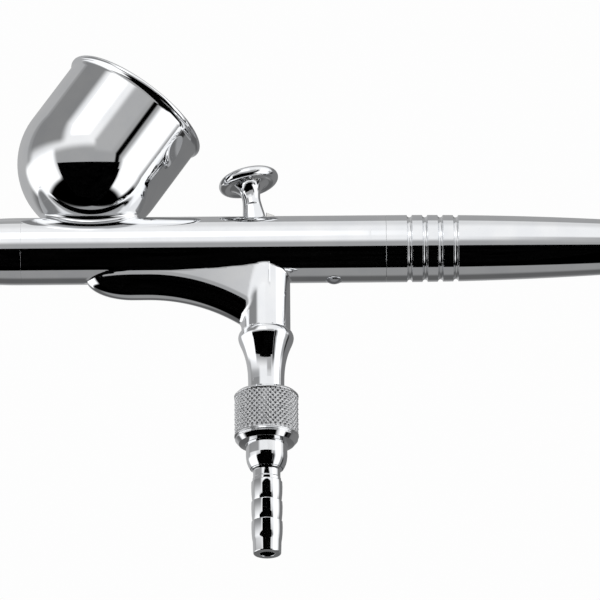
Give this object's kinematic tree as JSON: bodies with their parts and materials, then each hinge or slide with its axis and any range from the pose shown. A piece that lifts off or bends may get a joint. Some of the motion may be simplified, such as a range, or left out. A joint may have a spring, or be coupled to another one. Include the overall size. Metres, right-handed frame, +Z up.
{
  "type": "airbrush gun",
  "caption": "Gravity-feed dual-action airbrush gun with a side-tilted cup, a finger-rest web, a tilting trigger and a knurled hose nut on a barbed nipple.",
  "frame": {"origin": "centre of the hose nipple's end face, on the air valve's axis", "axes": "+X along the barrel towards the handle, -X towards the nozzle, +Z up through the trigger, -Z down the hose nipple"},
  "size_m": [0.151, 0.028, 0.0938],
  "materials": {
    "chrome": "bright chrome plate over brass",
    "nickel": "turned and nickel plated",
    "steel": "ground stainless steel",
    "spring_steel": "drawn spring wire",
    "brass": "turned brass",
    "ptfe": "matte PTFE",
    "nylon": "matte nylon",
    "rubber": "black nitrile rubber"
  },
  "bodies": {
    "gun_body": {"body": "chrome", "finger_rest": "chrome", "valve_casing": "chrome", "color_cup": "chrome", "retaining_screw": "steel", "nozzle": "nickel", "nozzle_seal": "ptfe", "head_seal": "rubber", "needle_packing": "ptfe", "packing_screw": "brass", "spring_case": "nickel", "needle_spring": "spring_steel", "valve_body": "chrome", "valve_screw": "brass", "valve_spring": "spring_steel", "nipple_seal": "nylon", "hose_nipple": "chrome"},
    "nozzle_cap": {"nozzle_cap": "chrome"},
    "needle_cap": {"needle_cap": "chrome"},
    "needle_carriage": {"needle": "steel", "needle_tube": "nickel", "lever_pin": "steel"},
    "back_lever": {"back_lever": "nickel"},
    "chuck_nut": {"chuck_nut": "nickel"},
    "handle": {"handle": "chrome"},
    "air_plunger": {"plunger": "brass", "trigger_pin": "steel", "valve_poppet": "brass", "poppet_seal": "rubber"},
    "trigger": {"trigger": "chrome"},
    "union_nut": {"union_nut": "chrome"}
  },
  "joints": [
    {"name": "air_press", "type": "slide", "parent": "gun_body", "child": "air_plunger", "axis": [0, 0, -1], "range_m": [0, 0.0016], "stiffness_N_per_m": 600, "springref_m": -0.003, "deforming": ["valve_spring"]},
    {"name": "trigger_pull", "type": "hinge", "parent": "air_plunger", "child": "trigger", "pos_m": [0, 0, 0.0496], "axis": [0, 1, 0], "range_deg": [0, 18], "stiffness_Nm_per_rad": 0.02, "springref_deg": -28.65},
    {"name": "needle_slide", "type": "slide", "parent": "gun_body", "child": "needle_carriage", "axis": [1, 0, 0], "range_m": [0, 0.0037], "deforming": ["needle_spring"]},
    {"name": "back_lever_rock", "type": "hinge", "parent": "needle_carriage", "child": "back_lever", "pos_m": [0.0044, 0, 0.06], "axis": [0, 1, 0], "range_deg": [0, 18.1]},
    {"name": "handle_turn", "type": "hinge", "parent": "gun_body", "child": "handle", "pos_m": [0.0215, 0, 0.0576], "axis": [1, 0, 0], "range_deg": [0, 1080]},
    {"name": "nozzle_cap_turn", "type": "hinge", "parent": "gun_body", "child": "nozzle_cap", "pos_m": [-0.0435, 0, 0.0576], "axis": [-1, 0, 0], "range_deg": [0, 1080]},
    {"name": "needle_cap_turn", "type": "hinge", "parent": "nozzle_cap", "child": "needle_cap", "pos_m": [-0.057, 0, 0.0576], "axis": [-1, 0, 0], "range_deg": [0, 720]},
    {"name": "chuck_nut_turn", "type": "hinge", "parent": "needle_carriage", "child": "chuck_nut", "pos_m": [0.0445, 0, 0.0576], "axis": [1, 0, 0], "range_deg": [0, 720]},
    {"name": "union_nut_turn", "type": "hinge", "parent": "gun_body", "child": "union_nut", "pos_m": [0, 0, 0.03], "axis": [0, 0, -1], "range_deg": [0, 1440]}
  ],
  "couplings": [
    {"joint": "needle_slide", "follows": "trigger_pull", "m_per_rad": 0.01157},
    {"joint": "back_lever_rock", "follows": "trigger_pull", "ratio": 1}
  ]
}
